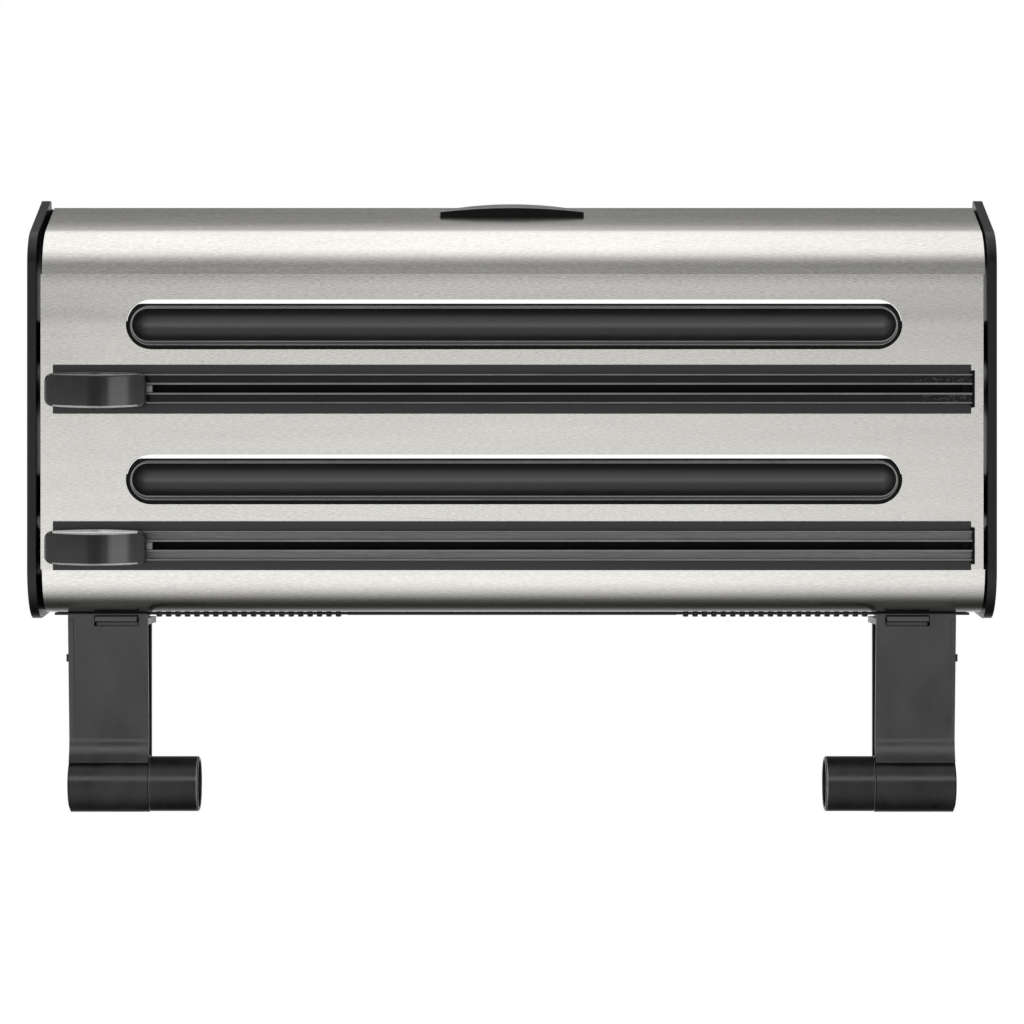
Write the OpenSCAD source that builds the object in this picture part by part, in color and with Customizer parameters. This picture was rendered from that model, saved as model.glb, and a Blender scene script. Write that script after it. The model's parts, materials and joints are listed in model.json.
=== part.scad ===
// Wall dispenser for two film rolls behind a steel front, and one kitchen roll below.
// X runs along the width, the wall is the plane y = 0, and the front looks towards -Y.
// The origin lies on the wall plane, at the middle of the upper line of wall screws.
// Lengths named ..._depth are measured back from the front rim of the cheeks.

/* [Body] */
// Body beyond each end of a window
end_land = 38.5; // [37:0.5:45]
// Depth from the wall to the front rim of the cheeks
body_d = 95; // [92:1:110]
// Flat top of the cheeks above the upper wall screws
top_rise = 16.3; // [15.5:0.1:18]
// Hinge axis of the front cover below the upper wall screws
hinge_drop = 135; // [132:1:145]
// Thickness of a cheek
cheek_t = 3.6; // [3:0.1:4.5]
// Radius of the cheek's front lobe, round the hinge axis
lobe_r = 20; // [19:0.5:21]
// Radius of the cheek's upper front corner
cheek_r = 15; // [10:0.5:18]
// Depth at which the cheek's sloped top ends
slope_depth = 47.5; // [46:0.5:50]
// Slope of the top, in degrees
top_slope = 21.77; // [20:0.01:23]
// Rise of the cheek's underside towards the wall, in degrees
under_rise = 4; // [3:0.5:5]

/* [Front cover] */
// Thickness of the steel sheet
steel_t = 0.7; // [0.5:0.1:1]
// Thickness of the plastic liner behind the steel
liner_t = 2; // [1.6:0.1:2.4]
// Steel front behind the rim of the cheeks
face_setback = 2.5; // [2:0.1:3]
// Steel top below the slope of the cheeks
face_drop = 1.5; // [1:0.1:2]
// Outer radius of the steel's upper bend
face_r = 20; // [17:0.5:22]
// Depth at which the steel's top edge lies
face_depth = 43.4; // [42:0.2:45]
// Wrap of the steel's lower bend, in degrees
foot_wrap = 84; // [78:1:86]
// Gap between the steel's end and a cheek
cover_gap = 1.4; // [1.2:0.1:1.6]
// Length of a window
window_l = 311; // [250:1:330]
// Height of a window
window_h = 20; // [19:0.1:21]
// Middle of the lower window above the hinge axis
window_rise = 36.1; // [35:0.1:37]
// Height between the two windows
window_pitch = 62.1; // [61:0.1:63]
// Middle of the windows to the right of the body's middle
window_x = 0.85; // [0:0.05:1]
// Slit left open above a trough, for the film
film_slit = 1.6; // [1.2:0.1:2]

/* [Cutter rails] */
// Cutter rail short of the steel at each end
rail_inset = 5.2; // [5:0.1:12]
// Height of a cutter rail
rail_h = 19.6; // [18:0.1:21]
// How far a cutter rail stands off the steel
rail_t = 5.5; // [5:0.1:6.5]
// Middle of the lower rail above the hinge axis
rail_rise = 9.5; // [9.5:0.1:10]
// Height between the two cutter rails
rail_pitch = 62.7; // [62:0.1:63]
// Length of a cutter knob
knob_l = 40.3; // [36:0.1:44]
// Height of a cutter knob
knob_h = 14.5; // [13:0.1:16]
// How far a cutter knob stands off the steel
knob_t = 13.4; // [12:0.1:15]

/* [Button] */
// Width of the release button at its front edge
button_w = 58.8; // [50:0.2:62]
// Depth of the button's straight front edge
button_depth = 31.8; // [31:0.1:33]
// Front to back size of the button
button_run = 16.2; // [15:0.1:17]
// Travel of the button
button_travel = 2.5; // [2:0.1:3]

/* [Film rolls] */
// Inner radius of a roll cradle
roll_r = 24; // [22:0.5:25]
// Wall thickness of a roll cradle
cradle_t = 1.6; // [1.2:0.1:2]
// Depth of the roll's axis
roll_depth = 45; // [44:0.5:48]
// Roll's axis above the middle of its window
roll_rise = 10.6; // [9.6:0.1:11]

/* [Kitchen roll arms] */
// Width of an arm
arm_w = 32.3; // [30:0.1:36]
// Spigot axis below the hinge axis
arm_drop = 87.8; // [80:0.2:100]
// Depth of the spigot axis
spigot_depth = 30; // [29.5:0.1:30.5]
// Radius of a spigot
spigot_r = 11.2; // [10.8:0.1:11.6]
// Length of a spigot
spigot_l = 20; // [16:0.5:26]
// Radius of the axle through a spigot
axle_r = 4; // [3:0.1:5]
// Wall thickness of an arm
arm_t = 2.4; // [2:0.1:2.8]
// Travel of a ratchet pawl
pawl_travel = 1.5; // [1:0.1:1.6]

/* [Toothed rail] */
// Toothed rail short of a cheek at each end
rack_inset = 4.8; // [2:0.1:8]
// Teeth for each arm
rack_teeth = 20; // [10:1:20]
// Pitch of the teeth
rack_pitch = 3.83; // [3.6:0.01:3.9]
// Height of a tooth
tooth_h = 1.2; // [1:0.1:1.3]

/* [Wall screws] */
// Wall screw in from the end of a window
screw_inset = 5.5; // [4:0.5:30]
// Height of the lower wall screws above the rear frame's foot
screw_foot = 11.5; // [9:0.5:14]
// Radius of a wall screw hole
wall_hole_r = 2.5; // [2:0.1:3]

/* [Hidden] */
$fn = 96;

// Shared gaps and overruns
over = 1;            // how far a cut runs past a face
slide_gap = 0.3;     // gap between pieces that slide past each other
run_gap = 0.05;      // radial gap of a pin in its bore

// Side view, in y and z
front_y = -body_d;
slope_y = front_y + slope_depth;
hinge_y = front_y + lobe_r;
hinge_z = -hinge_drop;
body_w = window_l + 2 * end_land;
screw_span_x = window_l - 2 * screw_inset;
face_y = front_y + face_setback;
foot_r = lobe_r - face_setback;
face_end_y = front_y + face_depth;
liner_y = face_y + steel_t;
in_x = body_w / 2 - cheek_t;
cover_x = in_x - cover_gap;
slope_normal = [-sin(top_slope), cos(top_slope)];

function slope_z(y) = top_rise - tan(top_slope) * (slope_y - y);
function arc_centre(y, r, drop) = [y + r, slope_z(y + r) - drop - r / cos(top_slope)];

cheek_corner = arc_centre(front_y, cheek_r, 0);
face_corner = arc_centre(face_y, face_r, face_drop);
lobe_foot = [hinge_y + lobe_r * sin(under_rise), hinge_z - lobe_r * cos(under_rise)];
under_z = lobe_foot.y - tan(under_rise) * lobe_foot.x;

// Rows of windows, troughs, rails and rolls: 0 is the lower one, 1 the upper one
function window_z(row) = hinge_z + window_rise + row * window_pitch;
function rail_z(row) = hinge_z + rail_rise + row * rail_pitch;
function roll_z(row) = window_z(row) + roll_rise;
roll_y = front_y + roll_depth;

// Ridge at the top of a cheek, and the step down behind it
ridge_run = 3.5;
ridge_fall = 0.6;
back_drop = 2.7;

// Screws of the body
screw_r = 1.45;
screw_head_r = 3;
screw_head_t = 1.8;
screw_l = 11;
boss_r = 3.8;
anchor_l = 12;       // plastic round a cheek screw, along X
boss_turn = 38;      // degrees of a cradle boss from straight down
cradle_turn = 70;    // degrees of the cradle to each side of straight down

// Top beam
beam_step = 0.9;     // beam top above the liner's rear lip
lip_drop = 0.85;     // rear lip below the steel's top edge
lip_gap = 1;
lip_run = 10;
face_top_z = slope_z(face_end_y) - face_drop;
lip_z = face_top_z - lip_drop;
lip_end_y = face_end_y + lip_run;
beam_y = lip_end_y + lip_gap;
beam_z = lip_z + beam_step;
beam_t = 2.4;
beam_front_h = 7;
beam_back_h = 22.2;
block_h = 10;
block_d = 10;
block_spots = [
    [-beam_t - block_d / 2, beam_z - beam_t - block_h / 2],
    [beam_y + beam_t + block_d / 2, beam_z - beam_t - block_h / 2]
];

// Rear frame
frame_t = 3;
post_d = 16;
bar_h = 24;
mid_bar_h = 15;
mid_bar_d = 8;
mid_bar_gap = 5;     // below the upper roll
foot_lift = 0.3;     // frame floor above the cheek's underside
frame_foot_z = under_z + foot_lift;
frame_top_z = beam_z - beam_back_h;
mid_bar_z = roll_z(1) - roll_r - mid_bar_gap - mid_bar_h / 2;
post_inset = 26;     // cheek screws from the post's ends
post_spots = [
    [-post_d / 2, frame_top_z - post_inset],
    [-post_d / 2, frame_foot_z + post_inset]
];

// Track that carries the arms
track_depth = 40;
track_d = 22;
track_h = 11;
track_t = 2;
track_mouth = 9;
track_lift = 3;      // track bottom above the lowest point of the cheeks
track_y = front_y + track_depth;
track_z = hinge_z - lobe_r + track_lift;
track_mid = [track_y + track_d / 2, track_z + track_h / 2];

// Toothed rail
rack_depth = 22;
rack_t = 1;
rack_drop = 0.8;     // rail top below the track
rack_thin = 0.5;     // plate above the teeth is thinner
tooth_run = 5;
tooth_w = 2.5;
tooth_tip_w = 1.8;
rack_end_gap = 4.33; // last tooth in from the arm at rest
rack_y = front_y + rack_depth;
rack_z = track_z - rack_drop;
rack_end_y = track_y + (track_d - track_mouth) / 2 - run_gap;
rack_floor_z = rack_z - rack_t;
tooth_tip_z = rack_floor_z + rack_thin - tooth_h;
rack_screw_r = 1.2;
rack_head_r = 2.2;
rack_head_t = 1;
rack_screw_l = 3.4;
rack_screw_shares = [-1, -0.6, -0.2, 0.2, 0.6, 1];
rack_screw_inset = 8;
rack_x = in_x - rack_inset;

// Hinge and stop
pin_r = 3;
pin_head_r = 5;
pin_head_t = 1.4;
pin_in = 1;          // pin's end inside the bracket
bracket_t = 2;
bracket_inset = 0.8; // in from the steel's end
bracket_foot = 3.6;  // its front edge starts this far above the hinge axis
bracket_d = 11;
bracket_r = 14.5;
eye_shares = [[0.5, 1], [1, 0.5], [1, -0.5], [0.5, -1], [-0.5, -1], [-1, -0.5]];
stop_r = 1.8;
stop_ring_r = 9.5;
stop_turn = 60;      // degrees of the stop peg above the horizontal, at rest
cover_swing = 75;    // degrees that the cover opens
stop_spare = 1;      // degrees left beyond the swing
stop_gap = 0.25;
bracket_x = cover_x - bracket_inset;
liner_x = bracket_x - bracket_t;

// Steel and windows
bend_shift = 0.6;    // the bends lie this much further right than the flat
window_ease = 0.3;   // liner's window beyond the steel's
button_half = button_w / 2;
button_gap = 0.5;
button_y = front_y + button_depth;
bow_r = (button_half * button_half + button_run * button_run) / (2 * button_run);
bow_y = button_y + button_run - bow_r;

// Troughs
trough_d = 9;
trough_recess = 0.6;
trough_end_gap = 0.3;
trough_gap = 0.1;
trough_h = window_h - film_slit - trough_gap;
trough_l = window_l - 2 * trough_end_gap;
groove_r = 6.6;
groove_lift = 0.65;  // groove above the middle of the trough
bead_in = 1.2;       // bead round the groove in from the trough's edge
bead_lift = 0.3;     // bead above the middle of the trough
bead_t = 1.2;        // trough's edge behind the bead
groove_out = 1;      // groove axis in front of the trough's rim
flange_t = 1.6;
flange_h = 4;
flange_inset = 10.5; // flange shorter than the window at each end
flange_l = window_l - 2 * flange_inset;
trough_screw_r = 1;
trough_head_r = 1.9;
trough_head_t = 1.2;
trough_screw_in = 0.6; // liner left in front of the screw's tip
trough_screw_spots = [-0.9, 0, 0.9];
function trough_z(row) = window_z(row) + (trough_gap - film_slit) / 2;
function trough_foot_z(row) = trough_z(row) - trough_h / 2;

// Cutter rails, their outline measured from the steel and from the rail's middle
rail_flange_t = 1.6;
core_h = 11.8;
ridge_w = 0.6;
groove_t = 3.4;
mouth_h = 3.2;
mouth_ridge_h = 0.8;
chamber_h = 6.6;
chamber_low_t = 0.8;
chamber_high_t = 2.8;
rail_x = cover_x - rail_inset;
foot_l = 10;
foot_w = 1.6;
foot_gap = 0.2;
foot_edge = 1.2;     // feet in from the rail's edge
barb = 0.6;
barb_l = 1.4;
foot_shares = [-0.88, -0.44, 0, 0.44, 0.88];
foot_z = rail_h / 2 - foot_edge - foot_w / 2;
cap_t = 1;
cap_h = 14.8;
cap_out = 0.1;
plug_gap = 0.1;
rail_plug_l = 4;
left_plug_l = 1.2;

// Cutters, at rest at the left end
knob_over = 2;       // knob beyond the rail's left end
knob_drop = 0.6;     // knob below the rail's middle
knob_x = -rail_x - knob_over;
knob_end_x = knob_x + knob_l;
knob_corner_r = 4;
knob_front_r = 3;
knob_foot_t = rail_t + slide_gap;
saddle_r = 22;
saddle_share = 0.58; // saddle along the knob
saddle_sink = 3;
shoe_x = -rail_x + left_plug_l + slide_gap;
tab_l = 1.8;
tab_end_x = knob_end_x + tab_l;
tab_t = 5;
neck_gap = 0.2;
head_low_t = 1;
head_high_t = 2.6;
neck_w = mouth_h - 2 * neck_gap;
head_w = chamber_h - 2 * neck_gap;
blade_t = 0.5;
blade_shares = [0.5, 0.64, 0.82]; // heel, toe and tip along the knob
blade_top_t = 8.6;
throat_end_share = 0.88;
throat_w = 3.2;
throat_gap = 0.5;    // throat deeper than the blade
knob_pin_r = 0.8;
knob_pin_head_r = 1.7;
knob_pin_head_t = 0.9;
knob_pin_top_t = 9;
knob_pin_shares = [0.22, 0.4];

// Release button and its latch, drawn with the claws just clear of the beam
button_rise = 4.07;  // crest above the steel
button_tilt = 8.6;   // degrees of its top
crown_r = 263;
crown_steps = 720;
latch_t = 2;
latch_inset = 5.4;   // latch plate narrower than the button at each end
latch_w = button_w - 2 * latch_inset;
latch_run = 14;
latch_front = 1.2;   // latch plate behind the button's front edge
latch_gap = 0.3;     // latched arms below the beam's front wall
claw_w = 10;
claw_l = 2;
claw_gap = 0.6;      // claw behind the beam's front wall
claw_hold = 1;       // latched claw over the foot of the beam's front wall
guide_inset = 4.4;   // guide narrower than the button at each end
guide_w = button_w - 2 * guide_inset;
guide_t = 1.2;
guide_gap = 0.4;
guide_run = 7.2;     // ledge behind the button's front edge
spring_closed_h = 4;
spring_h = button_travel + spring_closed_h;
spring_r = 2.6;
spring_wire = 0.5;
spring_x = 18;
spring_y = 3.6;      // spring behind the button's front edge
beam_foot_z = beam_z - beam_front_h;
button_foot_z = beam_foot_z - latch_gap - button_travel;
latch_z = button_foot_z - latch_t;
guide_z = latch_z - spring_h;

// Arms: right-hand one, mirrored for the left
arm_margin = 10.5;
arm_x = in_x - arm_margin;
arm_in_x = arm_x - arm_w;
boss_play = 0.2;
boss_rim = 0.3;      // boss stands proud of the spigot
spigot_y = front_y + spigot_depth;
spigot_z = hinge_z - arm_drop;
arm_top_drop = 18.2; // front plate below the hinge axis
arm_front_depth = 19;
arm_lean = 4.8;      // front plate leans back this far
arm_back_depth = 38.2;
cover_t = 2.2;
lip_h = 10;          // flared lip at the foot of the front plate
lip_flare = 2.8;
lip_foot = 9;        // foot of the flare above the spigot axis
skirt_d = 7;
skirt_t = 2.2;
skirt_drop = 2.3;    // skirt below the plate's top
shelf_drop = 20.1;
shelf_t = 2.6;
shelf_over = 17;     // shelf behind the slider's middle is cut here
lug_drop = 36.2;
lug_h = 3;
lug_d = 3;
lug_out = 0.9;
lug_gap = 0.2;
arm_front_y = front_y + arm_front_depth;
arm_top_z = hinge_z - arm_top_drop;
arm_back_y = front_y + arm_back_depth;
flare_z = spigot_z + lip_foot + lip_h;
shelf_z = hinge_z - shelf_drop;
wall_x = arm_x - skirt_t - slide_gap / 2;
slider_gap = 0.5;
slider_h = 6.4;
slider_inset = 2.4;
slider_y = track_mid.x;
lip_top_z = track_z + track_t;
slider_screw_r = 1.3;
slider_head_r = 2.4;
slider_head_t = 1.4;
slider_screw_l = 6.4;
slider_screw_shares = [0.25, 0.75];
dome_h = 1.1;
dome_edge = 0.3;
dome_r = 10.3;
dome_shares = [1, 0.8, 0.6, 0.4, 0.2, 0];
spigot_gap = 0.3;
spigot_wall = 1.5;
spigot_cup = 6;
spigot_edge = 0.6;

// Pawls
pawl_w = 17.3;
pawl_side = 4;       // pawl in from the arm's inner side
pawl_gap = 1.1;
pawl_d = 8.4;
pawl_h = 2.7;
pawl_tooth_h = 1.1;
pawl_teeth = 4;
pawl_tooth_tip_w = 0.9;
press_out = 2.6;     // press lip in front of the arm
press_h = 2.4;
press_drop = 0.2;
press_root = 1;      // press lip runs this far into the pawl
window_edge = 0.7;   // strip of plate above the press lip
leaf_w = 10;
leaf_l = 24;
leaf_t = 1;
function plate_y(z) = arm_front_y + arm_lean * (arm_top_z - z) / (arm_top_z - flare_z);
pawl_x = arm_in_x + pawl_side;
pawl_tip_z = tooth_tip_z - slide_gap;
pawl_floor_z = pawl_tip_z - pawl_tooth_h - pawl_h;
pawl_y = plate_y(pawl_floor_z - pawl_travel) + cover_t + slide_gap;
press_z = arm_top_z - window_edge - press_drop;
leaf_y = plate_y(pawl_floor_z - leaf_l - pawl_travel) + cover_t + slide_gap;

steel_tone = [0.78, 0.77, 0.75];
black_tone = [0.13, 0.13, 0.135];
dark_tone = [0.2, 0.2, 0.2];
gloss_tone = [0.08, 0.08, 0.085];
grey_tone = [0.62, 0.64, 0.66];
screw_tone = [0.6, 0.6, 0.58];

// Turns a side view in y and z into a solid between two x places
module along_x(x0, x1) {
    translate([x0, 0, 0])
        rotate([90, 0, 90])
            linear_extrude(x1 - x0)
                children();
}

// Turns a front view in x and z into a solid between two y places
module along_y(y0, y1) {
    translate([0, y1, 0])
        rotate([90, 0, 0])
            linear_extrude(y1 - y0)
                children();
}

// Cylinder along X or Y
module rod_x(x0, x1, at, r) {
    translate([x0, at.x, at.y])
        rotate([0, 90, 0])
            cylinder(h = x1 - x0, r = r);
}

module rod_y(y0, y1, at, r) {
    translate([at.x, y1, at.y])
        rotate([90, 0, 0])
            cylinder(h = y1 - y0, r = r);
}

// Box between two corners
module block(low, high) {
    translate(low)
        cube(high - low);
}

// Builds the right-hand side, or its mirror image on the left
module on_side(side) {
    if (side < 0)
        mirror([1, 0, 0])
            children();
    else
        children();
}

// Flat shapes

module ring_sector(r, t, from, to) {
    reach = 2 * r;
    intersection() {
        difference() {
            circle(r);
            circle(r - t);
        }
        rotate(from)
            translate([-reach, 0])
                square([2 * reach, reach]);
        rotate(to)
            translate([-reach, -reach])
                square([2 * reach, reach]);
    }
}

module stadium(l, h) {
    square([l - h, h], center = true);
    for (end = [-1, 1])
        translate([end * (l - h) / 2, 0])
            circle(h / 2);
}

module rounded_rectangle(w, h, r) {
    square([w - 2 * r, h], center = true);
    square([w, h - 2 * r], center = true);
    for (i = [-1, 1], j = [-1, 1])
        translate([i * (w / 2 - r), j * (h / 2 - r)])
            circle(r);
}

module cheek_outline() {
    polygon([
        [0, under_z],
        [0, top_rise - back_drop],
        [slope_y + ridge_run + ridge_fall, top_rise - back_drop],
        [slope_y + ridge_run, top_rise],
        [slope_y, top_rise],
        cheek_corner + cheek_r * slope_normal,
        [front_y, cheek_corner.y],
        [front_y, hinge_z],
        lobe_foot
    ]);
    translate(cheek_corner)
        circle(cheek_r);
    translate([hinge_y, hinge_z])
        circle(lobe_r);
}

// Cross-section of the rolled front, set in from the steel's outer face
module front_sheet(inset, t) {
    r = face_r - inset;
    run = (face_end_y - face_corner.x + r * sin(top_slope)) / cos(top_slope);
    translate([face_y + inset, hinge_z])
        square([t, face_corner.y - hinge_z]);
    translate(face_corner)
        ring_sector(r, t, 90 + top_slope, 180);
    translate(face_corner)
        rotate(top_slope)
            translate([0, r - t])
                square([run, t]);
    translate([hinge_y, hinge_z])
        ring_sector(foot_r - inset, t, 180, 180 + foot_wrap);
}

// Button seen from above: straight in front, bowed behind
module bow(gap) {
    intersection() {
        translate([0, bow_y])
            circle(bow_r + gap);
        translate([-button_w, button_y - gap])
            square([2 * button_w, 2 * button_run]);
    }
}

// Screws

function cradle_boss(row, turn) = [
    roll_y + (roll_r + boss_r) * sin(turn),
    roll_z(row) - (roll_r + boss_r) * cos(turn)
];

cheek_screw_spots = concat(
    block_spots, post_spots, [track_mid],
    [for (row = [0, 1], turn = [-boss_turn, boss_turn]) cradle_boss(row, turn)]
);

module screw_bores(r) {
    for (spot = cheek_screw_spots)
        rod_x(in_x - screw_l, in_x + over, spot, r);
}

module both_ends() {
    for (side = [-1, 1])
        on_side(side)
            children();
}

// Housing

module cheek(side) {
    color(black_tone)
        on_side(side) {
            difference() {
                along_x(in_x, in_x + cheek_t)
                    cheek_outline();
                for (spot = cheek_screw_spots) {
                    rod_x(in_x - over, in_x + cheek_t + over, spot, screw_r);
                    rod_x(in_x + cheek_t - screw_head_t, in_x + cheek_t + over, spot, screw_head_r);
                }
                rod_x(in_x - over, in_x + cheek_t + over, [hinge_y, hinge_z], pin_r);
                rod_x(in_x + cheek_t - pin_head_t, in_x + cheek_t + over, [hinge_y, hinge_z], pin_head_r);
            }
            translate([0, hinge_y, hinge_z])
                rod_x(liner_x + slide_gap, in_x, stop_ring_r * [cos(stop_turn), sin(stop_turn)], stop_r);
        }
}

module left_cheek() {
    cheek(-1);
}

module right_cheek() {
    cheek(1);
}

module wall_holes(z) {
    for (side = [-1, 1])
        rod_y(-frame_t - over, over, [side * screw_span_x / 2, z], wall_hole_r);
}

module top_beam() {
    color(black_tone)
        difference() {
            union() {
                along_x(-in_x, in_x) {
                    translate([beam_y, beam_z - beam_t])
                        square([-beam_y, beam_t]);
                    translate([beam_y, beam_z - beam_front_h])
                        square([beam_t, beam_front_h]);
                    translate([-frame_t, frame_top_z])
                        square([frame_t, beam_z - frame_top_z]);
                }
                both_ends()
                    for (spot = block_spots)
                        along_x(in_x - anchor_l, in_x)
                            translate(spot)
                                square([block_d, block_h], center = true);
            }
            both_ends()
                screw_bores(screw_r);
            wall_holes(0);
        }
}

module rear_frame() {
    color(black_tone)
        difference() {
            union() {
                along_x(-in_x, in_x) {
                    translate([-frame_t, frame_foot_z])
                        square([frame_t, bar_h]);
                    translate([track_y + track_d, frame_foot_z])
                        square([-track_y - track_d, frame_t]);
                    translate([-mid_bar_d, mid_bar_z - mid_bar_h / 2])
                        square([mid_bar_d, mid_bar_h]);
                }
                both_ends()
                    along_x(in_x - anchor_l, in_x)
                        translate([-post_d, frame_foot_z])
                            square([post_d, frame_top_z - frame_foot_z]);
            }
            both_ends()
                screw_bores(screw_r);
            wall_holes(frame_foot_z + screw_foot);
        }
}

module arm_track() {
    color(black_tone)
        difference() {
            union() {
                along_x(-in_x, in_x)
                    difference() {
                        translate([track_y, track_z])
                            square([track_d, track_h]);
                        translate([track_y + track_t, track_z + track_t])
                            square([track_d - 2 * track_t, track_h - 2 * track_t]);
                        translate([track_mid.x - track_mouth / 2, track_z - over])
                            square([track_mouth, 2 * over + track_t]);
                    }
                both_ends()
                    along_x(in_x - anchor_l, in_x)
                        translate([track_y, track_z])
                            square([track_d, track_h]);
            }
            both_ends()
                screw_bores(screw_r);
            rack_screw_holes(rack_screw_r);
        }
}

module rack_screw_holes(r) {
    for (share = rack_screw_shares)
        translate([share * (rack_x - rack_screw_inset), (track_y + rack_end_y) / 2, rack_floor_z])
            cylinder(h = rack_screw_l, r = r);
}

module toothed_rail() {
    rack_start = arm_in_x - rack_end_gap - (rack_teeth - 1) * rack_pitch;
    thin_l = (rack_teeth + 1) * rack_pitch;
    thin_x = rack_start - rack_pitch;
    color(dark_tone) {
        difference() {
            along_x(-rack_x, rack_x) {
                translate([rack_y, rack_floor_z])
                    square([rack_end_y - rack_y, rack_t]);
                translate([track_y + run_gap, rack_floor_z])
                    square([rack_end_y - track_y - run_gap, rack_t + rack_drop]);
            }
            both_ends()
                block(
                    [thin_x, rack_y - over, rack_floor_z - over],
                    [thin_x + thin_l, rack_y + tooth_run, rack_floor_z + rack_thin]
                );
            rack_screw_holes(rack_screw_r);
            translate([0, 0, -over])
                rack_screw_heads(rack_head_t + over);
        }
        both_ends()
            for (i = [0 : rack_teeth - 1])
                translate([rack_start + i * rack_pitch, rack_y + tooth_run, rack_floor_z + rack_thin])
                    rotate([90, 0, 0])
                        linear_extrude(tooth_run)
                            polygon([
                                [-tooth_w / 2, 0],
                                [tooth_w / 2, 0],
                                [tooth_tip_w / 2, -tooth_h],
                                [-tooth_tip_w / 2, -tooth_h]
                            ]);
    }
}

module rack_screw_heads(h) {
    for (share = rack_screw_shares)
        translate([share * (rack_x - rack_screw_inset), (track_y + rack_end_y) / 2, rack_floor_z])
            cylinder(h = h, r = rack_head_r);
}

module rack_screws() {
    color(screw_tone) {
        rack_screw_holes(rack_screw_r);
        rack_screw_heads(rack_head_t);
    }
}

module cheek_screws() {
    color(screw_tone)
        both_ends()
            for (spot = cheek_screw_spots) {
                rod_x(in_x - screw_l, in_x + cheek_t - screw_head_t, spot, screw_r);
                rod_x(in_x + cheek_t - screw_head_t, in_x + cheek_t, spot, screw_head_r);
            }
}

module roll_cradle(row) {
    color(black_tone)
        difference() {
            union() {
                along_x(-in_x, in_x)
                    translate([roll_y, roll_z(row)])
                        ring_sector(roll_r + cradle_t, cradle_t, 270 - cradle_turn, 270 + cradle_turn);
                both_ends()
                    for (turn = [-boss_turn, boss_turn])
                        rod_x(in_x - anchor_l, in_x, cradle_boss(row, turn), boss_r);
            }
            rod_x(-in_x - over, in_x + over, [roll_y, roll_z(row)], roll_r);
            both_ends()
                screw_bores(screw_r);
        }
}

module upper_roll_cradle() {
    roll_cradle(1);
}

module lower_roll_cradle() {
    roll_cradle(0);
}

module hinge_pin(side) {
    color(screw_tone)
        on_side(side) {
            rod_x(liner_x - pin_in, in_x + cheek_t - pin_head_t, [hinge_y, hinge_z], pin_r);
            rod_x(in_x + cheek_t - pin_head_t, in_x + cheek_t, [hinge_y, hinge_z], pin_head_r);
        }
}

module left_hinge_pin() {
    hinge_pin(-1);
}

module right_hinge_pin() {
    hinge_pin(1);
}

// Front cover

module button_well(gap) {
    translate([0, 0, button_foot_z - over])
        linear_extrude(top_rise - button_foot_z + 2 * over)
            bow(gap);
}

module rail_slots() {
    for (row = [0, 1], share = foot_shares, edge = [-1, 1])
        along_y(face_y - over, liner_y + liner_t + over)
            translate([share * rail_x, rail_z(row) + edge * foot_z])
                square([foot_l + 2 * foot_gap, foot_w + 2 * foot_gap], center = true);
}

module steel_fascia() {
    color(steel_tone)
        difference() {
            along_x(-cover_x, cover_x + bend_shift)
                front_sheet(0, steel_t);
            for (row = [0, 1])
                along_y(face_y - over, face_y + steel_t + over)
                    translate([window_x, window_z(row)])
                        stadium(window_l, window_h);
            rail_slots();
            button_well(button_gap);
            block(
                [-cover_x - over, front_y, face_corner.y],
                [bend_shift - cover_x, face_end_y + over, top_rise]
            );
            block(
                [-cover_x - over, front_y, hinge_z - lobe_r],
                [bend_shift - cover_x, hinge_y + over, hinge_z]
            );
            block([cover_x, front_y, hinge_z], [in_x, liner_y + over, face_corner.y]);
        }
}

module cover_liner() {
    color(black_tone)
        difference() {
            along_x(-liner_x, liner_x) {
                front_sheet(steel_t, liner_t);
                translate([face_end_y, lip_z - liner_t])
                    square([lip_run, liner_t]);
            }
            for (row = [0, 1])
                along_y(face_y - over, liner_y + liner_t + over)
                    translate([window_x, window_z(row)])
                        stadium(window_l + 2 * window_ease, window_h + 2 * window_ease);
            rail_slots();
            button_well(button_gap);
            trough_screw_rods(0, trough_screw_r);
            trough_screw_rods(1, trough_screw_r);
        }
}

module end_bracket(side) {
    slot_r = stop_r + stop_gap;
    slot_end = asin(slot_r / stop_ring_r);
    slot_from = stop_turn - cover_swing - stop_spare;
    bend_r = face_corner.x - liner_y;
    rise = sqrt(bend_r * bend_r - (bend_r - bracket_d) * (bend_r - bracket_d));
    color(dark_tone)
        on_side(side)
            along_x(liner_x, bracket_x)
                difference() {
                    polygon(concat(
                        [[liner_y, hinge_z + bracket_foot], [liner_y, face_corner.y]],
                        [[liner_y + bracket_d, face_corner.y + rise]],
                        [[liner_y + bracket_d, hinge_z + bracket_r + bracket_foot]],
                        [for (share = eye_shares) [hinge_y, hinge_z] + bracket_r * share]
                    ));
                    translate([hinge_y, hinge_z]) {
                        circle(pin_r + run_gap);
                        ring_sector(
                            stop_ring_r + slot_r, 2 * slot_r,
                            slot_from - slot_end, stop_turn + slot_end
                        );
                    }
                }
}

module left_end_bracket() {
    end_bracket(-1);
}

module right_end_bracket() {
    end_bracket(1);
}

module trough_screw_rods(row, r) {
    for (share = trough_screw_spots)
        rod_y(
            liner_y + trough_screw_in, liner_y + liner_t + flange_t,
            [window_x + share * flange_l / 2, trough_foot_z(row) - flange_h / 2], r
        );
}

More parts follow.
